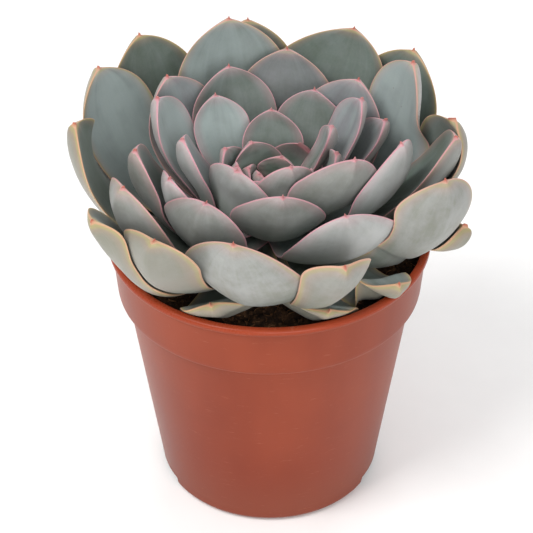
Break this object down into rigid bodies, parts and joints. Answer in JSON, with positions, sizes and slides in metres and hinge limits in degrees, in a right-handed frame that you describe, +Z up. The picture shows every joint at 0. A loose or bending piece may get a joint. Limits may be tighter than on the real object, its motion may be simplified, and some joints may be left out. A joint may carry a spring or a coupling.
{
  "type": "potted succulent",
  "caption": "Rosette succulent with thick cupped leaves on a spiral, growing in a round tapered plastic nursery pot filled with peat soil.",
  "frame": {"origin": "middle of the pot's flat foot, where it stands on a surface", "axes": "+Z up along the pot's axis, -Y towards the front, +X to the right seen from the front"},
  "size_m": [0.1439, 0.1444, 0.1642],
  "materials": {
    "pot": "terracotta coloured moulded polypropylene, satin outside, with a bright worn lip",
    "soil": "dark brown peat mix with light fibres, crumbly and dull",
    "stem": "pale woody stem with leaf scars",
    "leaf": "glaucous grey-green skin under a soft waxy bloom, with a thin pink margin and a red tip"
  },
  "bodies": {
    "root": {"pot": "pot", "soil": "soil", "stem": "stem", "leaf_01": "leaf", "leaf_02": "leaf", "leaf_03": "leaf", "leaf_04": "leaf", "leaf_05": "leaf", "leaf_06": "leaf", "leaf_07": "leaf", "leaf_08": "leaf", "leaf_09": "leaf", "leaf_10": "leaf", "leaf_11": "leaf", "leaf_12": "leaf", "leaf_13": "leaf", "leaf_14": "leaf", "leaf_15": "leaf", "leaf_16": "leaf", "leaf_17": "leaf", "leaf_18": "leaf", "leaf_19": "leaf", "leaf_20": "leaf", "leaf_21": "leaf", "leaf_22": "leaf", "leaf_23": "leaf", "leaf_24": "leaf", "leaf_25": "leaf", "leaf_26": "leaf", "leaf_27": "leaf", "leaf_28": "leaf", "leaf_29": "leaf", "leaf_30": "leaf", "leaf_31": "leaf", "leaf_32": "leaf", "leaf_33": "leaf", "leaf_34": "leaf", "leaf_35": "leaf", "leaf_36": "leaf", "leaf_37": "leaf", "leaf_38": "leaf", "leaf_39": "leaf", "leaf_40": "leaf", "leaf_41": "leaf", "leaf_42": "leaf", "leaf_43": "leaf", "leaf_44": "leaf", "leaf_45": "leaf", "leaf_46": "leaf", "leaf_47": "leaf", "leaf_48": "leaf", "leaf_49": "leaf", "leaf_50": "leaf", "leaf_51": "leaf", "leaf_52": "leaf", "leaf_53": "leaf", "leaf_54": "leaf", "leaf_55": "leaf", "leaf_56": "leaf"}
  },
  "joints": []
}
